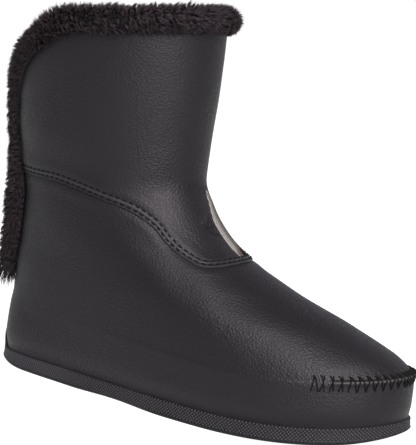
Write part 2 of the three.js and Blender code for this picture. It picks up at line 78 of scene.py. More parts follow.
# row and half width in degrees of the slit at the back
slitTable = np.array([
    [4.3, 12.5], [4.9, 15], [6, 18.5], [7.05, 27.5], [7.6, 30], [9.7, 29.8],
    [10.6, 32], [11.1, 42], [11.5, 55], [11.72, 66], [11.9, 76], [12, 84],
])
# share of the way from the seam to the collar and half width in degrees of the elastic
goreTable = np.array([[0.035, 11], [0.12, 12.5], [0.185, 12.5], [0.25, 9.5], [0.32, 4], [0.375, 1.2]])
# row and how far the fur stands out from the leather, in radii of its roll
standTable = np.array([[4.3, 0.5], [6, 0.55], [7.4, 0.35], [8.8, -0.08], [10, -0.3], [12, -0.3]])


def smooth(s):
    # 3s^2 - 2s^3, held to 0..1
    s = np.clip(s, 0, 1)
    return s * s * (3 - 2 * s)


def mix(a, b, share):
    return a + (b - a) * share


def bump(distance, width):
    # 1 at distance 0, falling as a bell: exp(-(distance / width)^2)
    return np.exp(-((distance / width) ** 2))


def curve(xs, ys):
    # cubic through the knots, slope at a knot = harmonic mean of its neighbours' slopes
    xs, ys = np.asarray(xs, float), np.asarray(ys, float)
    rise = np.diff(ys) / np.diff(xs)
    slope = np.zeros_like(ys)
    a, b = rise[:-1], rise[1:]
    safe = np.where(a + b == 0, 1, a + b)
    slope[1:-1] = np.where(a * b > 0, 2 * a * b / safe, 0)
    slope[0], slope[-1] = rise[0], rise[-1]

    def at(x):
        x = np.asarray(x, float)
        i = np.clip(np.searchsorted(xs, x) - 1, 0, len(xs) - 2)
        w = xs[i + 1] - xs[i]
        t = np.clip((x - xs[i]) / w, 0, 1)
        return ((2 * t**3 - 3 * t**2 + 1) * ys[i] + (t**3 - 2 * t**2 + t) * w * slope[i]
                + (3 * t**2 - 2 * t**3) * ys[i + 1] + (t**3 - t**2) * w * slope[i + 1])
    return at


zones = lastTable[:, 0].astype(int)


def columnCurve(values):
    return curve(np.arange(len(lastTable)), values)


def heightCurve(*names):
    # height of every row: mixed between the named heights that bound its zone
    knots = np.array([boot["floor"] + boot["gap"]] + [boot[name] for name in names])
    return columnCurve(mix(knots[zones], knots[zones + 1], lastTable[:, 1]))


lastAt = {
    "frontZ": heightCurve("toeEdge", "instep", "collarFront"),
    "backZ": heightCurve("counter", "ankle", "collarBack"),
}
lastScales = {
    "frontX": boot["length"], "backX": boot["length"], "outer": boot["width"], "inner": boot["width"],
    "peak": 1, "taper": 1, "heelPower": 1, "toePower": 1,
}
for place, (name, scale) in enumerate(lastScales.items(), 2):
    lastAt[name] = columnCurve(lastTable[:, place] * scale)
seamDrop, slitTurn = curve(*seamTable.T), curve(*slitTable.T)
goreTurn, furStand = curve(*goreTable.T), curve(*standTable.T)
goreFoot, goreApex = goreTable[0, 0], goreTable[-1, 0]


def pastStart(x, start):
    # (x / length - start) / (1 - start): 0 at the start, 1 at the toe's tip
    return (x / boot["length"] - start) / (1 - start)


def springAt(x):
    return boot["spring"] * np.clip(pastStart(x, boot["springStart"]), 0, 1.1) ** 2


def swingAt(x):
    return boot["swing"] * np.maximum(0, pastStart(x, boot["swingStart"])) ** 2


def lastPoint(row, turn):
    # a level's oval: x and z run from back to front with (1 + cos turn) / 2, and the half width follows
    # sqrt(1 - ahead^toePower) before the widest place and sqrt(1 - behind^heelPower) after it
    row, turn = np.broadcast_arrays(np.asarray(row, float), np.asarray(turn, float))
    angle = np.radians(turn)
    s = (1 + np.cos(angle)) / 2
    at = {name: f(row) for name, f in lastAt.items()}
    x = mix(at["backX"], at["frontX"], s)
    z = mix(at["backZ"], at["frontZ"], s)
    ahead = np.clip((s - at["peak"]) / (1 - at["peak"]), 0, 1)
    behind = np.clip((at["peak"] - s) / at["peak"], 0, 1)
    toe = np.sqrt(np.clip(1 - ahead ** at["toePower"], 0, 1))
    heel = (1 - at["taper"] * smooth(behind)) * np.sqrt(np.clip(1 - behind ** at["heelPower"], 0, 1))
    side = np.where(np.sin(angle) < 0, -at["outer"], at["inner"])
    return np.stack([x, side * np.where(s >= at["peak"], toe, heel) + swingAt(x), z + springAt(x)], -1)


def unit(v):
    return v / np.maximum(np.linalg.norm(v, axis=-1, keepdims=True), 1e-9)


def arcAlong(line):
    # length along a line of points, from its first
    return np.concatenate([[0], np.cumsum(np.linalg.norm(np.diff(line, axis=0), axis=-1))])


def roundStep(row, turn):
    # a small step round the level
    return lastPoint(row, np.add(turn, 0.8)) - lastPoint(row, np.add(turn, -0.8))


def lastNormal(row, turn):
    # (step round) x (step up), made unit
    above = lastPoint(np.minimum(np.add(row, 0.02), boot["collarRow"]), turn)
    below = lastPoint(np.maximum(np.add(row, -0.02), 0), turn)
    return unit(np.cross(roundStep(row, turn), above - below))


def planNormal(row, turn):
    along = roundStep(row, turn)
    return unit(np.stack([along[..., 1], -along[..., 0], 0 * along[..., 0]], -1))


def skinAt(row, turn):
    return lastPoint(row, turn), lastNormal(row, turn)


def lifted(base, normal, lift):
    return base + normal * np.asarray(lift)[..., None]


def halve(low, high, isUnder):
    # halves the spans until each closes on the place where isUnder turns false
    low, high = np.array(low, float), np.array(high, float)
    for _ in range(30):
        middle = (low + high) / 2
        under = isUnder(middle)
        low, high = np.where(under, middle, low), np.where(under, high, middle)
    return (low + high) / 2


def seamHeight(x):
    return boot["ankle"] + 18.5 - 36.5 * seamDrop(x / boot["length"])


def isUnderSeam(p):
    return p[..., 2] < seamHeight(p[..., 0])


def seamUp(points, normals):
    # distance over the leather from the seam: (z - height(x)) / its slope within the surface
    x = points[..., 0]
    slope = (seamHeight(x + 0.5) - seamHeight(x - 0.5))
    steep = np.stack([-slope, 0 * x, 1 + 0 * x], -1)
    steep = steep - normals * np.sum(steep * normals, -1, keepdims=True)
    return (points[..., 2] - seamHeight(x)) / np.linalg.norm(steep, axis=-1)


def softNoise(points, cell, seed):
    # lattice values in 0..1 at steps of cell, blended with 3s^2 - 2s^3 on each axis
    q = points / cell
    base = np.floor(q).astype(np.int64)
    f = smooth(q - base)
    total = 0
    for corner in range(8):
        step = np.array([corner & 1, corner >> 1 & 1, corner >> 2 & 1])
        c = base + step
        h = c[..., 0] * 73856093 ^ c[..., 1] * 19349663 ^ c[..., 2] * 83492791 ^ seed * 2654435761
        h = ((h ^ h >> 13) * 1274126177) & 0x7FFFFFFF
        h = ((h ^ h >> 11) * 668265263) & 0x7FFFFFFF
        weight = np.prod(np.where(step == 1, f, 1 - f), -1)
        total = total + weight * (h / 0x7FFFFFFF)
    return total


def addObject(name, data):
    added = bpy.data.objects.new(name, data)
    bpy.context.scene.collection.objects.link(added)
    return added


def makeObject(name, points, faces, material, replaced=(), fields=None, sharp=None):
    # points in millimetres from the back of the heel; faces is a list of arrays, 3 or 4 indices a row
    used = np.unique(np.concatenate([f.ravel() for f in faces]))
    renumber = np.full(len(points), -1)
    renumber[used] = np.arange(len(used))
    faces = [renumber[f] for f in faces if len(f)]
    co = (points[used] - [boot["heelSeat"], 0, 0]) / 1000
    mesh = bpy.data.meshes.new(name)
    mesh.vertices.add(len(co))
    mesh.vertices.foreach_set("co", co.astype(np.float32).ravel())
    corners = np.concatenate([f.ravel() for f in faces])
    sizes = np.concatenate([np.full(len(f), f.shape[1]) for f in faces])
    mesh.loops.add(len(corners))
    mesh.loops.foreach_set("vertex_index", corners.astype(np.int32))
    mesh.polygons.add(len(sizes))
    mesh.polygons.foreach_set("loop_start", (np.cumsum(sizes) - sizes).astype(np.int32))
    mesh.polygons.foreach_set("use_smooth", np.ones(len(sizes), bool))
    for key, values in (fields or {}).items():
        values = np.asarray(values, float)[used]
        kind, part = ("FLOAT_VECTOR", "vector") if values.ndim == 2 else ("FLOAT", "value")
        attribute = mesh.attributes.new(key, kind, "POINT")
        attribute.data.foreach_set(part, values.astype(np.float32).ravel())
    mesh.update(calc_edges=True)
    if mesh.validate():
        print("mesh of", name, "had bad faces")
    if sharp:
        mesh.set_sharp_from_angle(angle=math.radians(sharp))
    mesh.materials.append(material)
    piece = addObject(name, mesh)
    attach(piece, "root")
    if replaced:
        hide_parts(*replaced)
    print(name, "has", int((sizes - 2).sum()), "triangles")
    return piece


def linear(code):
    # sRGB hex to linear colour: ((c + 0.055) / 1.055)^2.4 above 0.04045
    parts = [int(code[i:i + 2], 16) / 255 for i in (0, 2, 4)]
    return [c / 12.92 if c <= 0.04045 else ((c + 0.055) / 1.055) ** 2.4 for c in parts] + [1]


def newMaterial(name):
    material = bpy.data.materials.new(name)
    material.use_nodes = True
    tree = material.node_tree
    tree.nodes.clear()
    return material, tree


def node(tree, kind, settings=None, **inputs):
    # adds a node; each input is a value, a hex colour, another node for its first output, or (other
    # node, name of its output)
    made = tree.nodes.new("ShaderNode" + kind)
    for name, value in (settings or {}).items():
        setattr(made, name, value)
    for name, value in inputs.items():
        isNumber = name[0] == "i" and name[1:].isdigit()
        socket = made.inputs[int(name[1:]) if isNumber else name.replace("_", " ")]
        if isinstance(value, str):
            value = linear(value)
        elif isinstance(value, bpy.types.Node):
            value = value, 0
        if isinstance(value, tuple) and isinstance(value[0], bpy.types.Node):
            tree.links.new(value[0].outputs[value[1]], socket)
        else:
            socket.default_value = value
    return made


def math2(tree, operation, a, b=0.0, c=0.0):
    return node(tree, "Math", {"operation": operation}, i0=a, i1=b, i2=c)


def remap(tree, value, low, high, to=(0.0, 1.0)):
    return node(tree, "MapRange", {"interpolation_type": "SMOOTHSTEP"}, Value=value, From_Min=low,
                From_Max=high, To_Min=to[0], To_Max=to[1])


def blend(tree, share, a, b):
    # share 0 gives colour a, 1 gives colour b
    return node(tree, "Mix", {"data_type": "RGBA"}, i0=share, i6=a, i7=b), 2


def field(tree, name, output="Fac"):
    return node(tree, "Attribute", {"attribute_name": name}), output


def surface(material, tone, roughness, specular, relief=None, **more):
    # the material's shader; relief is its strength, its depth in mm and the node of its height
    tree = material.node_tree
    if relief:
        strength, depth, height = relief
        more["Normal"] = node(tree, "Bump", Strength=strength, Distance=depth / 1000, Height=height)
    shader = node(tree, "BsdfPrincipled", Base_Color=tone, Roughness=roughness,
                  Specular_IOR_Level=specular, **more)
    node(tree, "OutputMaterial", Surface=(shader, "BSDF"))
    return material


def noise(tree, place, scale, detail, roughness=0.5):
    return node(tree, "TexNoise", Vector=place, Scale=scale, Detail=detail, Roughness=roughness)


def ripple(tree, value, pitch):
    # sin(2 pi value / pitch)
    return math2(tree, "SINE", math2(tree, "MULTIPLY", value, 2 * math.pi / pitch))


def cellsOf(tree, *size):
    # object coordinates counted in cells of that size in mm: metres * 1000 / size on each axis
    scale = [1000 / s for s in (size if len(size) == 3 else size * 3)]
    return node(tree, "Mapping", Vector=(node(tree, "TexCoord"), "Object"), Scale=scale), "Vector"


def leatherMaterial(name, dark, light, roughness):
    # full-grain cowhide, semi-aniline black: a close pebble grain a little longer round the boot than up
    # it, drawn into finer lines in places, with a satin polish that the grain breaks up
    material, tree = newMaterial(name)
    coords = cellsOf(tree, 1.5, 1.5, 1.2)
    drift = noise(tree, coords, 0.55, 2.0)
    moved = node(tree, "MixRGB", {"blend_type": "LINEAR_LIGHT"}, Fac=0.55, Color1=coords,
                 Color2=(drift, "Color"))
    pebble = node(tree, "TexVoronoi", {"feature": "SMOOTH_F1"}, Vector=(moved, "Color"), Scale=1.0,
                  Smoothness=0.35)
    fine = noise(tree, coords, 2.6, 3.0, 0.6)
    broad = noise(tree, coords, 0.035, 2.0)
    patch = remap(tree, broad, 0.38, 0.66, (0.6, 1.0))
    grain = math2(tree, "MULTIPLY", remap(tree, pebble, 0.12, 0.72, (1.0, 0.0)), patch)
    height = math2(tree, "MULTIPLY_ADD", fine, 0.35, grain)
    tone = blend(tree, remap(tree, fine, 0.3, 0.75), dark, light)
    # the edge field lightens the leather: the raw cut edge's own lighter colour, and painted highlight on
    # the swell between the stitch rows and on the moccasin's fold
    tone = blend(tree, field(tree, "edge"), tone, "343232")
    shine = remap(tree, grain, 0.0, 1.0, (roughness + 0.1, roughness - 0.05))
    return surface(material, tone, shine, 0.21, (0.8, 0.2, height), Specular_Tint=(1, 0.93, 1, 1))


def rubberMaterial():
    # moulded styrene rubber: matt, with a knurl of small studs on the side that runs into fine upright
    # ribs round the heel, and a plain bead along the lower edge
    material, tree = newMaterial("soleRubber")
    place = node(tree, "SeparateXYZ", Vector=field(tree, "side", "Vector"))
    along, up, heel = (place, "X"), (place, "Y"), (place, "Z")
    # studs on a staggered lattice: product of a sine along the side and one up it
    product = math2(tree, "MULTIPLY", ripple(tree, along, 2.2), ripple(tree, up, 2.2))
    studs = remap(tree, product, -0.1, 0.75)
    # ribs lean with height: along + 0.35 * up
    lean = math2(tree, "MULTIPLY_ADD", up, 0.35, along)
    ribs = remap(tree, ripple(tree, lean, 1.7), -0.5, 0.7)
    relief = node(tree, "Mix", {"data_type": "FLOAT"}, i0=heel, i2=studs, i3=ribs)
    band = math2(tree, "MULTIPLY", remap(tree, up, 1.9, 2.7), remap(tree, up, 9.1, 9.4, (1.0, 0.0)))
    relief = math2(tree, "MULTIPLY", relief, band)
    crumb = noise(tree, cellsOf(tree, 0.9), 1.0, 3.0)
    height = math2(tree, "MULTIPLY_ADD", crumb, 0.3, relief)
    # painted shade in the knurl's hollows and painted highlight on its studs and ribs: the tone follows
    # the relief
    tone = blend(tree, relief, "09080a", "39363b")
    tone = blend(tree, remap(tree, crumb, 0.45, 0.95), tone, "262327")
    return surface(material, tone, 0.6, 0.17, (0.9, 0.4, height))


def furMaterial():
    # acrylic plush pile: near black at the root, warm brown black along the hair, a faint cool gleam
    material, tree = newMaterial("plushFur")
    tone = blend(tree, field(tree, "own"), "080507", "2d2228")
    tone = blend(tree, remap(tree, field(tree, "along"), 0.0, 0.75), "060405", tone)
    return surface(material, tone, 0.62, 0.22, Sheen_Weight=0.06, Sheen_Roughness=0.4,
                   Sheen_Tint="6a5c60")


def plushMaterial():
    # short knitted pile of the lining, seen down the shaft: soft blotches and no gloss
    material, tree = newMaterial("plushLining")
    pile = noise(tree, cellsOf(tree, 1.4), 1.0, 5.0, 0.7)
    tone = blend(tree, remap(tree, pile, 0.35, 0.7), "0b090a", "2a2426")
    return surface(material, tone, 0.95, 0.1, (0.9, 0.8, pile), Sheen_Weight=0.25, Sheen_Tint="5c5053")


def elasticMaterial():
    # woven elastic: grey ribs of covered rubber thread with a darker ground between them
    material, tree = newMaterial("elasticGore")
    place = node(tree, "SeparateXYZ", Vector=field(tree, "cloth", "Vector"))
    rib, picks = ripple(tree, (place, "X"), gore["rib"]), ripple(tree, (place, "Y"), 0.9)
    weave = remap(tree, math2(tree, "MULTIPLY_ADD", picks, 0.45, rib), -0.9, 1.1)
    tone = blend(tree, weave, "474543", "7f7d7a")
    tone = blend(tree, field(tree, "shade"), tone, "3b332e")
    return surface(material, tone, 0.85, 0.25, (0.7, 0.2, weave))


def threadMaterial():
    # bonded polyester sewing thread, black, with the twist of its plies
    material, tree = newMaterial("sewingThread")
    twist = node(tree, "TexWave", Vector=cellsOf(tree, 0.8), Scale=1.0, Distortion=0.5)
    return surface(material, "060506", 0.8, 0.12, (0.5, 0.08, (twist, "Fac")))


def feltMaterial():
    # needled polyester felt: matt, with fibres that lie across the insole
    material, tree = newMaterial("insoleFelt")
    fibre = noise(tree, cellsOf(tree, 0.5, 2.0, 0.5), 1.0, 4.0)
    tone = blend(tree, fibre, "151314", "322d2e")
    return surface(material, tone, 0.95, 0.15, (0.6, 0.3, fibre))


def shellFaces(keep):
    # faces of a wall between an outer and an inner grid joined round; every open edge gets a rim
    levels, columns = keep.shape[0] + 1, keep.shape[1]
    index = np.arange(levels * columns).reshape(levels, columns)
    step = np.roll(index, -1, 1)
    a, b, d, e = index[:-1], step[:-1], step[1:], index[1:]
    inner = levels * columns
    padded = np.pad(keep, ((1, 1), (0, 0)))
    below, above = padded[:-2], padded[2:]
    left, right = np.roll(keep, 1, 1), np.roll(keep, -1, 1)

    def quads(mask, *corners):
        return np.stack([c[mask] for c in corners], -1)
    return [
        quads(keep, a, b, d, e),
        quads(keep, inner + a, inner + e, inner + d, inner + b),
        quads(keep & ~below, a, inner + a, inner + b, b),
        quads(keep & ~above, e, d, inner + d, inner + e),
        quads(keep & ~left, a, e, inner + e, inner + a),
        quads(keep & ~right, b, inner + b, inner + d, d),
    ]


def cellsBut(rows, columns, level):
    # which cells of a grid have a wall: all but those of the slit from that level up
    keep = np.ones((len(rows) - 1, len(columns[0])), bool)
    keep[level:, columns[0] == 2] = False
    return keep


def makeWall(name, outer, inner, keep, material, replaced=(), fields=None, sharp=None):
    # each field is a pair, its values on the outer grid and on the inner one
    def joined(pair):
        return np.concatenate([grid.reshape((-1,) + grid.shape[2:]) for grid in pair])
    fields = {key: joined(pair) for key, pair in (fields or {}).items()}
    return makeObject(name, joined((outer, inner)), shellFaces(keep), material, replaced,
                      fields, sharp)


goreCentre = 10.5  # degrees of turn to the inner side
goreLap = 0.78  # share of the elastic's half width that the leather leaves bare


def goreEdge(share):
    over = np.clip((share - goreApex) / (1 - goreApex), 0, 1)
    return mix(goreLap * goreTurn(np.clip(share, goreFoot, goreApex)), 10 * goreLap, smooth(over))


def slitEdge(row):
    return slitTurn(np.clip(row, boot["slitRow"], boot["collarRow"]))


def makeColumns(goreCells, sideCells, slitCells):
    # each column's kind, and its share of the way from that kind's first edge to its next, closer
    # together towards the toe: half the gore, a side, the slit, the other side, the gore's other half
    spans = [(goreCells, 1), (sideCells, 1.3), (slitCells, 1), (sideCells, -1.3), (goreCells, 1)]
    kinds, shares = [], []
    for kind, (cells, power) in enumerate(spans):
        s = np.arange(cells) / cells
        kinds.append(np.full(cells, kind))
        shares.append(s**power if power > 0 else 1 - (1 - s) ** -power)
    return np.concatenate(kinds), np.concatenate(shares)


def columnTurn(columns, row, share):
    # the column's place between the edges of the gore and of the slit, which move with row and share
    kinds, shares = columns
    g, s = goreEdge(share), slitEdge(row)
    shape = np.broadcast_shapes(np.shape(row), np.shape(share), kinds.shape)
    edges = [goreCentre, goreCentre + g, 180 - s, 180 + s, 360 + goreCentre - g, 360 + goreCentre]
    edges = np.stack([np.broadcast_to(edge, shape) for edge in edges])
    kinds = np.broadcast_to(kinds, shape)[None]
    first, second = (np.take_along_axis(edges, kinds + k, 0)[0] for k in (0, 1))
    return mix(first, second, shares)


def seamRows(columns):
    size = len(columns[0])
    return halve(np.full(size, boot["slitRow"] + 0.4), np.full(size, boot["collarRow"]),
                 lambda row: isUnderSeam(lastPoint(row, columnTurn(columns, row, goreFoot))))


def shaftColumns(goreCells, sideCells, slitCells):
    # a side's columns are spaced partly by turn and partly by length along the shaft's lower edge
    kinds, shares = makeColumns(goreCells, sideCells, slitCells)
    fine = np.linspace(0, 1, 500)
    for kind in (1, 3):
        probe = np.full(500, kind), fine
        seam = seamRows(probe)
        arc = arcAlong(lastPoint(seam, columnTurn(probe, seam, goreFoot)))
        even = 0.35 * fine + 0.65 * arc / arc[-1]
        shares[kinds == kind] = np.interp(np.arange(sideCells) / sideCells, even, fine)
    return kinds, shares


# Soft troughs and ridges in the leather: centre in mm, direction they run, half length, half width and
# height, outwards positive. The first six are the wrinkle beside the gore.
creases = [
    ((142.9, -4.1, 110.2), (0.46, -0.62, -0.63), 3.6, 0.9, -1.3),
    ((144.0, -8.6, 108.0), (0.2, 0.98, 0), 2.6, 0.9, -1.2),
    ((145.2, -4, 107.8), (0.3, 0.94, -0.12), 2.6, 0.9, -1.1),
    ((148.1, -5.6, 104.2), (0.49, 0.8, -0.35), 4.2, 0.9, -1.3),
    ((146.4, -6.5, 106.4), (0.4, 0.85, -0.3), 4.5, 1.2, 0.7),
    ((141.5, -8.2, 110.3), (0.46, -0.3, -0.83), 4.2, 1.5, 0.7),
    ((118, -30, 122), (0.7, 0.3, 0.55), 26, 9, -0.7),
    ((104, -36, 136), (0.75, 0.25, 0.35), 24, 10, 0.5),
    ((60, -40, 128), (1, 0, 0.15), 34, 10, -0.5),
    ((165, -32, 74), (0.5, -0.35, -0.75), 26, 9, 0.6),
    ((150, -36, 72), (0.5, -0.3, -0.8), 26, 7, -0.5),
    ((212, -34, 44), (0.8, 0.2, -0.5), 22, 8, -0.4),
    ((60, -38, 172), (0.1, 0, 1), 34, 12, -0.6),
    ((96, -30, 176), (0.1, 0, 1), 34, 11, 0.4),
    ((118, 30, 122), (0.7, -0.3, 0.55), 26, 9, -0.7),
    ((60, 40, 128), (1, 0, 0.15), 34, 10, -0.5),
    ((160, 34, 74), (0.5, 0.35, -0.75), 26, 9, 0.5),
]


def creaseLift(points):
    # sum of high * exp(-(along / long)^2) * exp(-(across / wide)^2), and a slight unevenness
    lift = np.zeros(points.shape[:-1])
    for centre, run, long, wide, high in creases:
        run = unit(np.array(run, float))
        offset = points - centre
        along = offset @ run
        across = np.linalg.norm(offset - along[..., None] * run, axis=-1)
        lift += high * bump(along, long) * bump(across, wide)
    return lift + 0.5 * (softNoise(points, 26, 5) - 0.5) + 0.16 * (softNoise(points, 9, 6) - 0.5)


moc = {
    "start": 0.865, "full": 0.92,  # the ridge fades in along the toe's side, shares of the length
    "ridge": 1.35, "half": 1.4,  # height and half width of the folded edge, mm
    "hollow": 1.2, "pitch": 5.2,  # the plug lies under it and is drawn in by each stitch
    "pullStart": 0.835, "pull": 0.35, "pullAt": 5,  # dents where the threads dive, mm
}


def mocArc():
    # length along the moccasin seam from the tip of the toe, by turn
    turns = np.linspace(-150, 150, 3001)
    arc = arcAlong(lastPoint(boot["mocRow"], turns))
    return turns, arc - np.interp(0, turns, arc)


def mocRise():
    # length over the leather from the moccasin seam: a row for each degree of turn from -180, a column
    # for each fortieth of a row from row 2 to row 6
    turns, rows = np.linspace(-180, 180, 361), np.linspace(2, 6, 161)
    grid = lastPoint(rows[None], turns[:, None])
    rise = np.cumsum(np.linalg.norm(np.diff(grid, axis=1), axis=-1), 1)
    rise = np.pad(rise, ((0, 0), (1, 0)))
    return rise - rise[:, [np.searchsorted(rows, boot["mocRow"])]]


mocTurns, mocLengths = mocArc()
riseGrid = mocRise()


def gridAt(table, i, j):
    # a table's value between its entries: mixed along both ways
    i = np.clip(i, 0, table.shape[0] - 1.001)
    j = np.clip(j, 0, table.shape[1] - 1.001)
    a, b = np.floor(i).astype(int), np.floor(j).astype(int)
    u, v = i - a, j - b
    return mix(mix(table[a, b], table[a + 1, b], u), mix(table[a, b + 1], table[a + 1, b + 1], u), v)


def wrap(turn):
    # the turn within -180..180
    return (np.asarray(turn) + 180) % 360 - 180


def mocUp(row, wrapped):
    # height over the moccasin seam, along the leather
    return gridAt(riseGrid, wrapped + 180, (row - 2) * 40)


def mocRowAt(up, wrapped):
    return halve(np.full(up.shape, 2), np.full(up.shape, 6), lambda row: mocUp(row, wrapped) < up)


def mocReach(x):
    return smooth((x / boot["length"] - moc["start"]) / (moc["full"] - moc["start"]))


def mocLift(row, turn, x):
    # ridge: a bell over the seam with a small waist at each stitch; hollow: a step down over it that
    # rises back to the plug's own surface, puckered at each stitch
    wrapped = wrap(turn)
    up = mocUp(row, wrapped)
    wave = np.cos(2 * np.pi * np.interp(wrapped, mocTurns, mocLengths) / moc["pitch"])
    ridge = moc["ridge"] * bump(up - 0.2, moc["half"]) * (1 + 0.25 * wave)
    sunk = smooth((up - 0.6) / 1.8) * (1 - smooth((up - 3) / 14)) * (1 - 0.3 * wave * bump(up, 7))
    pulled = moc["pull"] * bump(np.abs(up) - moc["pullAt"], 1.8) * (0.5 + 0.5 * wave)
    pulled *= smooth((x / boot["length"] - moc["pullStart"]) / 0.03)
    return mocReach(x) * (ridge - moc["hollow"] * sunk) - pulled


def overSeam(row, turn):
    return seamUp(*skinAt(row, turn))


def seamRate(seam, turn):
    # mm of leather for one row, from a small step over the seam
    row = np.minimum(seam + 0.1, boot["collarRow"])
    return np.maximum(overSeam(row, turn) / (row - seam), 15)


footCut = {"tuck": 7, "thick": 1.25, "foldHighlight": 0.9, "swell": 0.35, "swellAt": 4}


def makeFootLeather(material):
    columns = makeColumns(8, 132, 16)
    seam = seamRows(columns)
    # the foot's leather runs on under the shaft's by the tuck
    tuck = footCut["tuck"] / seamRate(seam, columnTurn(columns, seam, goreFoot))
    fixed = np.concatenate([np.linspace(0, 2.7, 15)[:-1], np.linspace(2.7, 3.1, 6)[:-1],
                            np.linspace(3.1, 4.0, 22)[:-1], np.linspace(4.0, boot["slitRow"], 3)])
    rows = [np.full(len(seam), row) for row in fixed]
    rows += [mix(boot["slitRow"], seam, share) for share in np.linspace(0, 1, 46)[1:]]
    rows = np.stack(rows + [seam + tuck * share for share in (0.15, 0.4, 0.7, 1)])
    turn = columnTurn(columns, rows, goreFoot)
    base, normal = skinAt(rows, turn)
    up = seamUp(base, normal)
    # the two leathers are stitched hard together, so the foot's swells a little below the cut edge
    lift = mocLift(rows, turn, base[..., 0]) + creaseLift(base) - 0.25 * smooth(up / 1.2)
    lift += footCut["swell"] * bump(up + footCut["swellAt"], 3.2) - 0.2 * bump(up, 1.4)
    # painted highlight along the crest of the moccasin's folded edge, carried in the edge field
    foldHighlight = footCut["foldHighlight"] * bump(mocUp(rows, wrap(turn)) - 0.5, 0.7) * mocReach(base[..., 0])
    outer, inner = lifted(base, normal, lift), lifted(base, normal, np.minimum(lift, 0) - footCut["thick"])
    return makeWall("footLeather", outer, inner, cellsBut(rows, columns, len(fixed) - 1), material,
                    ("upper",), {"edge": (foldHighlight, 0 * foldHighlight)}, 45)


shaftCut = {
    "thick": 1.15, "dip": 0.22,  # over the last, and how deep a row of stitches draws it in
    "near": np.array([0, 0.25, 0.6, 1.1, 1.6, 2.1, 2.6, 3.0, 3.4, 3.9, 4.4, 4.9, 5.5, 6.2, 7.2]),
    "height": 118,  # from the seam to the collar
}


def makeShaftLeather(material):
    columns = shaftColumns(10, 130, 16)
    seam = seamRows(columns)
    rate = seamRate(seam, columnTurn(columns, seam, goreFoot))
    # close levels over the seam for the cut edge, the two rows of stitches and the swell between them
    near = shaftCut["near"]
    top = near[-1] / shaftCut["height"]
    far = np.concatenate([np.linspace(top, goreApex, 40)[1:], np.linspace(goreApex, 1, 30)[1:]])
    rows = [seam + n / rate for n in near]
    rows = np.stack(rows + [mix(rows[-1], boot["collarRow"], (share - top) / (1 - top)) for share in far])
    shares = np.concatenate([near / shaftCut["height"], far])
    turn = columnTurn(columns, rows, np.maximum(shares, goreFoot)[:, None])
    base, normal = skinAt(rows, turn)
    high = seamUp(base, normal)
    high[0] = 0
    # thickness of the cut edge, then the stitched band: dips under both rows, a swell between and above
    lift = shaftCut["thick"] * smooth((high + 0.35) / 0.7) + creaseLift(base)
    lift += 0.14 * bump(high - 3, 0.8) + 0.22 * bump(high - 7.5, 2.5)
    for height in seamStitch["heights"]:
        lift -= shaftCut["dip"] * bump(high - height, 0.8)
    outer, inner = lifted(base, normal, lift), lifted(base, normal, np.minimum(0.05, lift - 0.9))
    inner[0] = lifted(base[0], normal[0], 0.02)
    keep = cellsBut(rows, columns, 0)
    footLevel = int(np.argmax(shares >= goreFoot + 0.004))
    apexLevel = int(np.argmax(shares >= goreApex - 1e-6))
    keep[footLevel:apexLevel, (columns[0] == 0) | (columns[0] == 4)] = False
    edge = 0.4 * bump(high - 3, 0.6)  # painted highlight: the swell between the two rows of stitches is painted lighter
    edge[0], edge[1] = 0.9, 0.3
    return makeWall("shaftLeather", outer, inner, keep, material, (),
                    {"edge": (edge, edge)}, 45)


def makeLining(material):
    # a pile wall inside the leather: outer skin 1.5 mm in, inner skin 2.7 mm in with a soft roughness
    columns = makeColumns(4, 60, 10)
    slitRow = boot["slitRow"]
    rows = np.concatenate([np.linspace(0.35, slitRow, 14)[:-1], np.linspace(slitRow, 11.9, 46)])
    grid = np.broadcast_to(rows[:, None], (len(rows), len(columns[0])))
    turn = columnTurn(columns, grid, np.clip((rows - 8) / 4, goreFoot, 1)[:, None])
    base, normal = skinAt(grid, turn)
    rough = 0.8 * (softNoise(base, 3.2, 11) - 0.5) + 0.6 * (softNoise(base, 1.7, 12) - 0.5)
    keep = cellsBut(rows, columns, int(np.argmax(rows >= slitRow)))
    return makeWall("plushLining", base - normal * 1.5, lifted(base, -normal, 2.7 + rough), keep,
                    material)


gore = {"thick": 1.4, "bulge": 2.5, "rib": 1.15, "ribHigh": 0.09, "sink": 0.45, "wider": 1.4}


def makeGore(material):
    # a V of elastic that bows out between the leather's edges: lift = bulge * (1 - (cut / lap)^2), with
    # fine ribs that run up the boot
    cuts, shares = np.linspace(-1, 1, 97), np.linspace(goreFoot - 0.02, goreApex - 0.002, 70)
    half = goreTurn(np.clip(shares, goreFoot, 1)) + gore["wider"]
    seam = halve(np.full(97, boot["slitRow"]), np.full(97, boot["collarRow"]),
                 lambda row: isUnderSeam(lastPoint(row, goreCentre + cuts * 12)))
    turn = goreCentre + cuts * half[:, None]
    row = mix(seam, boot["collarRow"], shares[:, None])
    base, normal = skinAt(row, turn)
    degree = np.linalg.norm(lastPoint(row, turn + 0.5) - lastPoint(row, turn - 0.5), axis=-1)
    across = (turn - goreCentre) * degree
    ends = smooth((shares - shares[0]) / 0.05) * smooth((shares[-1] - shares) / 0.03)
    bow = np.maximum(0, 1 - (cuts / goreLap) ** 2) * ends[:, None]
    lift = gore["bulge"] * bow - gore["sink"] + gore["ribHigh"] * np.sin(2 * np.pi * across / gore["rib"])
    keep = np.ones((69, 97), bool)
    keep[:, -1] = False
    up = np.broadcast_to(arcAlong(base[:, 48])[:, None], across.shape)
    cloth = np.stack([across, up, 0 * across], -1)
    # the leather's edges shade the elastic
    dim = np.maximum(smooth((cuts + 0.5) / 0.4), smooth((-0.62 - cuts) / 0.14))
    shade = np.broadcast_to(dim, across.shape)
    return makeWall("elasticV", lifted(base, normal, lift),
                    lifted(base, normal, np.minimum(lift, 0.2) - gore["thick"]), keep, material,
                    ("gore",), {"cloth": (cloth, cloth), "shade": (shade, shade)}, 50)


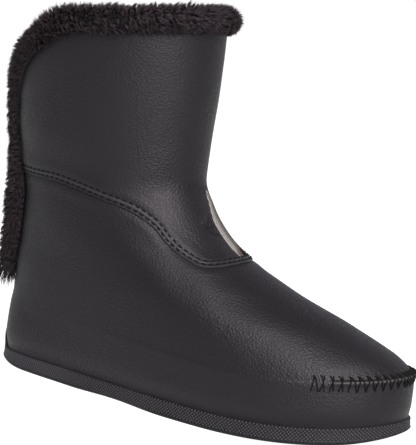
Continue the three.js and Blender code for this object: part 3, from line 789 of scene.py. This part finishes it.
def tubeFaces(steps, sides):
    # walls of one tube, and the fans at its two tips, whose points follow the rings
    k, s = np.arange(sides), np.arange(steps - 1)[:, None] * sides
    nextK = (k + 1) % sides
    walls = np.stack([s + k, s + nextK, s + sides + nextK, s + sides + k], -1).reshape(-1, 4)
    tip, last = steps * sides, (steps - 1) * sides
    first = np.stack([np.full(sides, tip), nextK, k], -1)
    final = np.stack([np.full(sides, tip + 1), last + k, last + nextK], -1)
    return walls, first, final


def tubes(lines, radii, sides=6, caps=0.6):
    # round tubes along many lines at once: lines is (count, steps, 3), radii (count, steps)
    count, steps = lines.shape[:2]
    ahead = unit(np.gradient(lines, axis=1))
    ref = np.where(np.abs(ahead[..., 2:3]) > 0.9, [1.0, 0, 0], [0, 0, 1.0])
    across = unit(np.cross(ahead, ref))
    third = np.cross(ahead, across)
    angle = 2 * np.pi * np.arange(sides) / sides
    ring = across[:, :, None] * np.cos(angle)[:, None] + third[:, :, None] * np.sin(angle)[:, None]
    points = (lines[:, :, None] + ring * radii[..., None, None]).reshape(count, -1, 3)
    first = lines[:, 0] - ahead[:, 0] * radii[:, :1] * caps
    final = lines[:, -1] + ahead[:, -1] * radii[:, -1:] * caps
    points = np.concatenate([points, np.stack([first, final], 1)], 1).reshape(-1, 3)
    start = (np.arange(count) * (steps * sides + 2))[:, None, None]
    return points, [(f + start).reshape(-1, f.shape[1]) for f in tubeFaces(steps, sides)]


seamStitch = {
    "heights": (1.6, 4.4), "shifts": (0, 0.35), "pitch": 4.4, "dash": 2.7, "radius": 0.5,
    "from": 2.5, "until": 3, "proud": 0.16, "dive": 0.9,
}


def makeSeamStitches(material):
    # two rows of thread along the shaft's lower edge: every dash dives into the leather at both ends
    columns = makeColumns(8, 220, 8)
    kinds = columns[0]
    seam = seamRows(columns)
    order = np.concatenate([np.flatnonzero(kinds >= 3), np.flatnonzero(kinds <= 1)])
    turns = columnTurn(columns, seam, goreFoot)[order]
    turns = np.where(turns > 180, turns - 360, turns)
    seam = seam[order]
    lines, radii = [], []
    t = np.linspace(0, 1, 7)
    for height, shift in zip(seamStitch["heights"], seamStitch["shifts"]):
        level = halve(seam - 0.05, np.minimum(seam + 2.6, boot["collarRow"]),
                      lambda row: overSeam(row, turns) < height)
        arc = arcAlong(lastPoint(level, turns))
        pitch = seamStitch["pitch"]
        starts = np.arange(seamStitch["from"] + shift * pitch, arc[-1] - seamStitch["until"], pitch)
        at = starts[:, None] + t * seamStitch["dash"]
        base, normal = skinAt(np.interp(at, arc, level), np.interp(at, arc, turns))
        lift = shaftCut["thick"] - shaftCut["dip"] + seamStitch["proud"] + creaseLift(base)
        lines.append(lifted(base, normal, lift - seamStitch["dive"] * (2 * t - 1) ** 6))
        radii.append(np.broadcast_to(seamStitch["radius"] * (1 - 0.25 * (2 * t - 1) ** 4), at.shape))
    points, faces = tubes(np.concatenate(lines), np.concatenate(radii))
    return makeObject("seamStitches", points, faces, material)


mocStitch = {
    "low": -5.6, "radius": 0.43, "first": 239, "proud": 0.3, "dive": 0.9,
    # start and end of the leg up, its height, start and end of the leg down and its end's rise: for the
    # first stitch, for the next three, whose legs cross, and for the rest
    "legs": [(0, 1.6, 5.2, 1.6, 4.4, 0), (-0.4, 2.6, 5.4, 0.4, 2.4, 0.6), (0, 1.5, 5.6, 1.5, 5.2, 0)],
}


def makeMocStitches(material):
    # hand stitches that slant up over the ridge and back down: a zigzag with one leg each half pitch, and
    # a cluster of crossed legs where the seam is locked off at either end
    ahead = lastPoint(boot["mocRow"], mocTurns)[:, 0] >= mocStitch["first"]
    outerEnd, innerEnd = mocLengths[(mocTurns < 0) & ahead].min(), mocLengths[(mocTurns > 0) & ahead].max()
    low = mocStitch["low"]
    legs = []
    for sign, end in ((1, outerEnd), (-1, innerEnd)):
        for k in range(int(abs(end) / moc["pitch"]) + 1):
            a, b, high, c, d, rise = mocStitch["legs"][0 if k < 1 else 1 if k < 4 else 2]
            a, b, c, d = (end + sign * (k * moc["pitch"] + along) for along in (a, b, c, d))
            legs += [((a, low), (b, high)), ((c, high), (d, low + rise))]
    legs = np.array(legs)
    t = np.linspace(0, 1, 13)
    arc = mix(legs[:, 0, 0, None], legs[:, 1, 0, None], t)
    up = mix(legs[:, 0, 1, None], legs[:, 1, 1, None], t)
    # a place on the toe's leather from its length along the seam and its height over it
    turn = np.interp(arc, mocLengths, mocTurns)
    row = mocRowAt(up, turn)
    base, normal = skinAt(row, turn)
    lift = mocLift(row, turn, base[..., 0]) + creaseLift(base)
    lift += mocStitch["proud"] - mocStitch["dive"] * (2 * t - 1) ** 6
    radii = np.broadcast_to(mocStitch["radius"] * (1 - 0.2 * (2 * t - 1) ** 4), arc.shape)
    points, faces = tubes(lifted(base, normal, lift), radii)
    return makeObject("moccasinStitches", points, faces, material)


sole = {
    "spread": 2.6, "round": 1.8, "rim": 9.6, "lip": 1.1, "ease": 0.2, "treadStep": 0.3,
    "arch": 1.2, "archSpan": (0.27, 0.53), "tab": 11, "tabTurn": 20,
    "bevel": 4.6, "bevelReach": 30, "toeBevel": 2.8, "toeReach": 32,
    "grooveDepth": 1.6, "grooveWidth": 3.4, "groovePitch": 10.5, "grooveMargin": 9,
    "plain": 20.0,  # a height for the knurl's field where there is no knurl
}
heelEnd = lastTable[0, 3] * boot["length"] - sole["spread"]


def archAt(x):
    # arch * sin(pi * share)^2 between the heel and the ball
    a, b = sole["archSpan"]
    return sole["arch"] * np.sin(np.pi * np.clip((x / boot["length"] - a) / (b - a), 0, 1)) ** 2


def bevelAt(x):
    # both ends of the tread curve up: bevel * share of the reach, squared
    heel = np.clip((heelEnd + sole["bevelReach"] - x) / sole["bevelReach"], 0, 1)
    toe = np.clip((x - boot["length"] + sole["toeReach"]) / sole["toeReach"], 0, 1.05)
    return sole["bevel"] * heel**2 + sole["toeBevel"] * toe**2


def makeSole(material):
    count = 720
    turns = 360 * np.arange(count) / count
    tab = sole["tab"] * smooth(1.6 * (1 - np.abs(turns - 180) / sole["tabTurn"]))

    def isUnderRim(row):
        point = lastPoint(row, turns)
        return point[:, 2] - springAt(point[:, 0]) < sole["rim"] + tab
    rimRow = halve(np.zeros(count), np.full(count, boot["mocRow"]), isUnderRim)
    rings, heights = [], []

    def add(height, ring):
        rings.append(ring)
        heights.append(height)

    def low(out, height, share):
        # a ring round the foot of the last; share says how far it follows the bevels
        point = lastPoint(0, turns) + planNormal(0, turns) * out
        x = point[:, 0]
        point[:, 2] = springAt(x) + height + bevelAt(x) * share + archAt(x) * (share > 0.9)
        return point

    def rimPoint(out, drop):
        point = lastPoint(rimRow, turns) + planNormal(rimRow, turns) * out
        point[:, 2] -= drop
        return point
    spread, rnd, step = sole["spread"], sole["round"], sole["treadStep"]
    for angle in np.radians([0, 18, 36, 54, 72, 90]):
        height = rnd * (1 - np.cos(angle))
        add(height, low(spread - rnd + rnd * np.sin(angle), height, 1 if angle < 1.5 else 0.8))
    # the bead along the lower edge, the step over it, then the knurled band up to the lip
    for inwards, height in ((0, 2.0), (0.03, 2.3), (step * 0.8, 2.55), (step, 2.9)):
        add(height, low(spread - inwards, height, 0.6))
    rim = sole["ease"] + sole["lip"]
    sideLow, sideTop = rings[-1], rimPoint(rim, sole["lip"] * 0.5)
    for share in np.linspace(0, 1, 12)[1:]:
        bead = 0.2 * smooth((share - 0.8) / 0.1)
        add(mix(2.9, 9.2, share), mix(sideLow, sideTop, share) + planNormal(0.5, turns) * bead)
    lipRings = [(rim * 0.85, 0.2, 9.0), (rim * 0.6, 0.0, 9.1), (rim * 0.3, -0.3, 9.5), (-0.15, -0.5, 9.5),
                (-0.25, 0.2, 9.6)]
    for out, drop, height in lipRings:
        add(height, rimPoint(out, drop))
    add(sole["plain"], lastPoint(rimRow / 2, turns) + planNormal(rimRow / 2, turns) * sole["ease"])
    well = lastPoint(0, turns) + planNormal(0, turns) * sole["ease"]
    well[:, 2] = springAt(well[:, 0]) + boot["floor"]
    add(sole["plain"], well)
    rings, ringCount = np.stack(rings), len(rings)
    index = np.arange(ringCount * count).reshape(ringCount, count)
    step = np.roll(index, -1, 1)
    faces = [np.stack([index[:-1], step[:-1], step[1:], index[1:]], -1).reshape(-1, 4)]
    # the underside and the cup's floor run straight across between points i and count - i
    half, cells = count // 2, 30
    across = (np.arange(1, cells) / cells)[None, :, None]
    left, right = np.arange(1, half), count - np.arange(1, half)
    under, top = (mix(ring[left][:, None], ring[right][:, None], across) for ring in (rings[0], rings[-1]))
    x = under[..., 0]
    # transverse grooves: depth * (1 - smooth(|x - groove| over half the width)), cut short at the sides
    phase = (x - boot["heelSeat"]) / sole["groovePitch"] - 0.5
    off = np.abs(phase - np.round(phase)) * sole["groovePitch"]
    wide = np.linalg.norm(rings[0][left] - rings[0][right], axis=-1)[:, None]
    inFrom = np.minimum(across[..., 0], 1 - across[..., 0]) * wide
    groove = 1 - smooth(off - sole["grooveWidth"] / 2 + 0.5)
    groove = groove * smooth((inFrom - sole["grooveMargin"] + 2) / 1.5)
    groove = groove * ((x > heelEnd + 12) & (x < boot["length"] - 8))
    under[..., 2] = springAt(x) + archAt(x) + bevelAt(x) + sole["grooveDepth"] * groove
    top[..., 2] = springAt(top[..., 0]) + boot["floor"]
    points = np.concatenate([grid.reshape(-1, 3) for grid in (rings, under, top)])
    underFrom = ringCount * count
    topFrom = underFrom + under[..., 0].size
    for base, offset, flip in ((0, underFrom, True), (underFrom - count, topFrom, False)):
        grid = np.empty((half - 1, cells + 1), int)
        grid[:, 0], grid[:, -1] = base + left, base + right
        grid[:, 1:-1] = offset + np.arange((half - 1) * (cells - 1)).reshape(half - 1, cells - 1)
        quads = np.stack([grid[:-1, :-1], grid[1:, :-1], grid[1:, 1:], grid[:-1, 1:]], -1).reshape(-1, 4)
        toe = np.stack([np.full(cells, base), grid[0, :-1], grid[0, 1:]], -1)
        heel = np.stack([np.full(cells, base + half), grid[-1, 1:], grid[-1, :-1]], -1)
        faces += [faceSet[:, ::-1] if flip else faceSet for faceSet in (quads, toe, heel)]
    # place on the side, for the knurl: length from the toe's tip, height, and how far into the heel
    line = lastPoint(0, turns)
    hop = np.linalg.norm(np.roll(line, -1, 0) - line, axis=-1)
    arc = np.concatenate([[0], np.cumsum(hop)[:-1]])
    arc = np.minimum(arc, hop.sum() - arc)
    heel = 1 - smooth((line[:, 0] - 48) / 40)
    parts = np.broadcast_arrays(arc, np.array(heights)[:, None], heel)
    side = np.stack(parts, -1).reshape(-1, 3)
    rest = np.tile([0, sole["plain"], 0], (len(points) - len(side), 1))
    return makeObject("cupSole", points, faces, material, ("outsole",),
                      {"side": np.concatenate([side, rest])}, 40)


fur = {
    "core": 6.4, "gap": 0.3, "start": 0.25,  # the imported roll
    "backing": 6.1, "backingEnds": (4.4, 5.6), "backingTip": 6.5,  # radii, and the end's reach, mm
    "root": 5.6, "reach": 10.6,  # radii of a hair's two ends
    "clump": 1.35, "clumpTurn": 27,  # size of a lock along the roll and round it
    "collarFrom": 150,  # where the strip turns from the slit on to the collar
    "comb": (-2.6, 3.0), "brush": (-14, 6),  # lean along, mm, and round, degrees: slit, collar
    "gather": (0.2, 0.65), "thick": (0.16, 0.29), "hang": (3, 9), "lengths": (0.58, 1.0),
}
slitSteps = 160


def furLine(side):
    # centre of one half of the roll from the foot of the slit to the front of the collar, with the way
    # along it, out from the leather and past its cut edge; side is 1 on the inner side of the foot
    start, top = boot["slitRow"] + fur["start"], boot["collarRow"]
    rows = np.concatenate([mix(start, top, np.arange(slitSteps) / slitSteps), np.full(slitSteps + 1, top)])
    front = mix(180 - side * slitEdge(top), 0 if side > 0 else 360, np.arange(slitSteps + 1) / slitSteps)
    turns = np.concatenate([180 - side * slitEdge(rows[:slitSteps]), front])
    edges = lastPoint(rows, turns)
    number = np.arange(len(rows))
    along = unit(edges[np.minimum(number + 4, len(rows) - 1)] - edges[np.maximum(number - 4, 0)])
    along[-1] = [0, -side, 0]
    out = lastNormal(rows, turns)
    out[-1] = lastNormal(top, 0.0)
    out[-1, 1] = 0
    out = unit(out - along * np.sum(out * along, -1, keepdims=True))
    past = np.cross(along, out) * side
    face = 1.1 * smooth((edges[:, 2] - seamHeight(edges[:, 0]) + 4) / 8)
    stand = furStand(rows) * fur["core"]
    reach = fur["core"] + fur["gap"]
    rise = np.sqrt(reach**2 - np.maximum(0, stand) ** 2)
    centre = edges + out * (stand + face)[:, None] + past * rise[:, None]
    centre[-1, 1] = 0
    seat = -180 + np.degrees(np.arcsin(np.clip(stand / reach, -1, 1)))
    arc = arcAlong(centre)
    slitTop, corner = np.interp((11.0, 11.8), rows[:slitSteps], arc[:slitSteps])
    return {"side": side, "arc": arc, "centre": centre, "along": along, "out": out, "seat": seat,
            "slitTop": slitTop, "corner": corner}


def frameAt(line, s):
    # the line's centre and ways at length s along it
    centre, along, out = (
        np.stack([np.interp(s, line["arc"], line[key][:, i]) for i in range(3)], -1)
        for key in ("centre", "along", "out"))
    along = unit(along)
    out = unit(out - along * np.sum(out * along, -1, keepdims=True))
    return centre, along, out, np.cross(along, out) * line["side"]


def makeFurCore(lines, material):
    # the backing of the pile: two tubes with a soft roughness, closed at both ends
    points, faces, start = [], [], 0
    steps, sides = 260, 28
    angle = 2 * np.pi * np.arange(sides)[:, None] / sides
    radius = np.full((steps, 1, 1), fur["backing"])
    radius[:2, 0, 0] = fur["backingEnds"]
    for line in lines:
        centre, along, out, past = frameAt(line, np.linspace(0, line["arc"][-1], steps))
        way = past[:, None] * np.cos(angle) + out[:, None] * np.sin(angle)
        skin = centre[:, None] + way * radius
        skin += way * (0.6 * (softNoise(skin, 2.6, 21) - 0.5))[..., None]
        points += [skin.reshape(-1, 3), [centre[0] - along[0] * fur["backingTip"], centre[-1]]]
        faces += [(f if line["side"] < 0 else f[:, ::-1]) + start for f in tubeFaces(steps, sides)]
        start += steps * sides + 2
    points = np.concatenate(points)
    fields = {"along": np.full(len(points), 0.12), "own": np.full(len(points), 0.2)}
    return makeObject("furBacking", points, faces, material, ("fur_trim",), fields)


def makeHairs(name, line, span, count, seed, material):
    # curved three-sided spikes in combed locks: root on the core, tip at reach, each tip drawn towards its
    # lock's own tip; shorter where the roll faces the leather
    rng = np.random.default_rng(seed)
    s = rng.uniform(*span, count)
    away = rng.uniform(8, 352, count)
    phi = np.interp(s, line["arc"], line["seat"]) + away  # from the turn that faces the leather's edge
    facing = np.minimum(away, 360 - away)
    flat = np.stack([s, phi / 7, 0 * s], -1)
    wave, waveToo = (2 * softNoise(flat, cell, seed + k) - 1 for cell, k in ((6.0, 1), (5.0, 2)))
    row, column = np.floor(s / fur["clump"] + wave), np.floor(phi / fur["clumpTurn"] + waveToo)
    # two numbers in 0..1 for each lock, from a hash of its row and column
    lock = row * 8191 + column * 131
    own = np.modf(np.abs(np.sin(lock * 12.9898 + seed) * 43758.5453))[0]
    ownToo = np.modf(np.abs(np.sin(lock * 78.233 + seed) * 24634.6345))[0]
    middleS, middlePhi = (row + 0.5 - wave) * fur["clump"], (column + 0.5 - waveToo) * fur["clumpTurn"]
    gather = rng.uniform(*fur["gather"], count)
    tipS = mix(s, middleS, gather) + (own - 0.5) * 2.4
    onCollar = smooth((s - fur["collarFrom"]) / 40)
    comb = mix(*fur["comb"], onCollar) + 2.0 * (own - 0.5) + rng.normal(0, 0.4, count)
    # on the collar the pile is also brushed down over the outside, on the slit back towards its middle
    brushed = mix(*fur["brush"], onCollar) * np.sin(np.radians(np.clip(phi, -180, 180)))
    tipPhi = mix(phi, middlePhi, gather) + (ownToo - 0.5) * 14 + brushed + rng.normal(0, 5, count)
    foot = 1 - smooth(s / 9)  # the pile hangs over the foot of the slit
    centre, along, out, past = frameAt(line, s)

    def way(angle):
        a = np.radians(angle)[:, None]
        return past * np.cos(a) + out * np.sin(a)
    root = centre + way(phi) * fur["root"]
    upwards = way(phi)[:, 2]
    swell = 1 + 0.16 * (2 * softNoise(flat, 8.0, seed + 3) - 1)
    length = rng.uniform(*fur["lengths"], count) + 0.22 * rng.uniform(0, 1, count) ** 8
    length *= (0.9 + 0.2 * ownToo) * swell * (1 - 0.35 * (1 - smooth((facing - 8) / 20)))
    longer = 0.55 * np.maximum(0, upwards) - 0.45 * np.maximum(0, -upwards)
    length *= 1 + onCollar * longer + 0.3 * bump(s - line["corner"] - 4, 20)
    length *= 1 - 0.3 * foot
    tip = centre + along * (tipS - s + comb)[:, None]
    tip += way(tipPhi) * mix(fur["root"], fur["reach"], length)[:, None]
    tip[:, 2] -= 0.9 * length + rng.uniform(*fur["hang"], count) * foot
    bend = mix(root, tip, 0.45) + way(phi) * length[:, None]
    axis = unit(tip - root)
    b = unit(np.cross(axis, along + 0.01))
    c = np.cross(axis, b)
    thick = rng.uniform(*fur["thick"], count)[:, None]
    rings = [place + (b * np.cos(turn) + c * np.sin(turn)) * (thick * share)
             for place, share in ((root, 1.0), (bend, 0.85)) for turn in np.radians([0, 120, 240])]
    points = np.stack(rings + [tip], 1)
    start = (np.arange(count) * 7)[:, None]
    cells = ([[0, 2, 1], [3, 4, 6], [4, 5, 6], [5, 3, 6]], [[0, 1, 4, 3], [1, 2, 5, 4], [2, 0, 3, 5]])
    faces = [np.concatenate([start + np.array(corners) for corners in kind]) for kind in cells]
    tone = np.clip(0.05 + 0.8 * own + rng.uniform(-0.2, 0.3, count), 0, 1)
    fields = {"along": np.tile([0.1] * 3 + [0.6] * 3 + [1.0], count), "own": np.repeat(tone, 7)}
    return makeObject(name, points.reshape(-1, 3), faces, material, (), fields)


leather = leatherMaterial("blackLeather", "0a090b", "131114", 0.45)
thread = threadMaterial()
hairFur = furMaterial()
makeFootLeather(leather)
makeShaftLeather(leather)
makeLining(plushMaterial())
makeGore(elasticMaterial())
makeSeamStitches(thread)
makeMocStitches(thread)
makeSole(rubberMaterial())
inner, outer = furLine(1), furLine(-1)
makeFurCore((inner, outer), hairFur)
slitTop = outer["slitTop"]
# hairs on the slit, hairs on the collar and the first seed; fewer on the side away from the camera
hairs = [("Outer", outer, 13000, 17000, 3), ("Inner", inner, 9000, 13000, 5)]
for side, line, slitHairs, collarHairs, seed in hairs:
    makeHairs("furSlit" + side, line, (0.5, slitTop), slitHairs, seed, hairFur)
    makeHairs("furCollar" + side, line, (slitTop - 0.5, line["arc"][-1]), collarHairs, seed + 1, hairFur)
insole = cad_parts["insole"]
insole.data.materials.clear()
insole.data.materials.append(feltMaterial())


def makeStage():
    # one pale sheet under the boot
    material, tree = newMaterial("paleFloor")
    surface(material, "8c8c8e", 0.9, 0.1, Emission_Color=(1.0, 1.0, 1.0, 1.0), Emission_Strength=1.0)
    bpy.ops.mesh.primitive_plane_add(size=300)
    piece = bpy.context.object
    piece.name = "floor"
    piece.data.materials.append(material)


def makeWorld():
    # white beyond the boot and dimmer behind the camera: a mix by the direction's dot product with the
    # way that the camera looks
    world = bpy.data.worlds.new("studio")
    bpy.context.scene.world = world
    world.use_nodes = True
    tree = world.node_tree
    tree.nodes.clear()
    dot = node(tree, "VectorMath", {"operation": "DOT_PRODUCT"}, i0=(node(tree, "TexCoord"), "Generated"),
               i1=(-0.5, 0.86, 0.0)), "Value"
    tone = blend(tree, remap(tree, dot, 0.84, 0.99), (0.12, 0.115, 0.125, 1), (0.75, 0.72, 0.8, 1))
    background = node(tree, "Background", Color=tone, Strength=1.0)
    node(tree, "OutputWorld", Surface=(background, "Background"))


def makeLight(name, place, aim, size, power, colour=(1, 1, 1)):
    light = bpy.data.lights.new(name, "AREA")
    light.shape = "RECTANGLE"
    light.size, light.size_y = size
    light.energy = power
    light.color = colour
    lamp = addObject(name, light)
    lamp.location = place
    lamp.rotation_euler = (Vector(aim) - Vector(place)).to_track_quat("-Z", "Y").to_euler()


def makeCamera():
    # the photograph's own view: azimuth, elevation and roll in degrees, distance and target in metres
    azimuth, elevation, roll = (math.radians(a) for a in (30.16, 9.16, 5.73))
    distance, target = 0.9257, Vector((0.1029, 0, 0.10985))
    level = math.cos(elevation)
    back = Vector((math.sin(azimuth) * level, -math.cos(azimuth) * level, math.sin(elevation)))
    right = Vector((math.cos(azimuth), math.sin(azimuth), 0))
    camera = bpy.data.cameras.new("camera")
    camera.lens, camera.sensor_width = 125.0, 36
    camera.clip_start, camera.clip_end = 0.05, 1000
    holder = addObject("camera", camera)
    turned = Matrix((right, back.cross(right), back)).transposed().to_4x4()
    moved = Matrix.Translation(target + back * distance)
    holder.matrix_world = moved @ turned @ Matrix.Rotation(roll, 4, "Z")
    bpy.context.scene.camera = holder


bpy.context.scene.view_settings.view_transform = "Standard"
makeStage()
makeWorld()
makeLight("key", (1.15, -1.0, 1.0), (0.05, 0, 0.1), (0.5, 1.4), 64)
makeLight("overhead", (0.45, -0.75, 1.5), (0.1, 0, 0.05), (1.0, 1.0), 24)
makeLight("rim", (0.6, 1.6, 0.9), (0.1, 0, 0.1), (1.6, 0.8), 5, (0.95, 0.94, 1))
makeCamera()
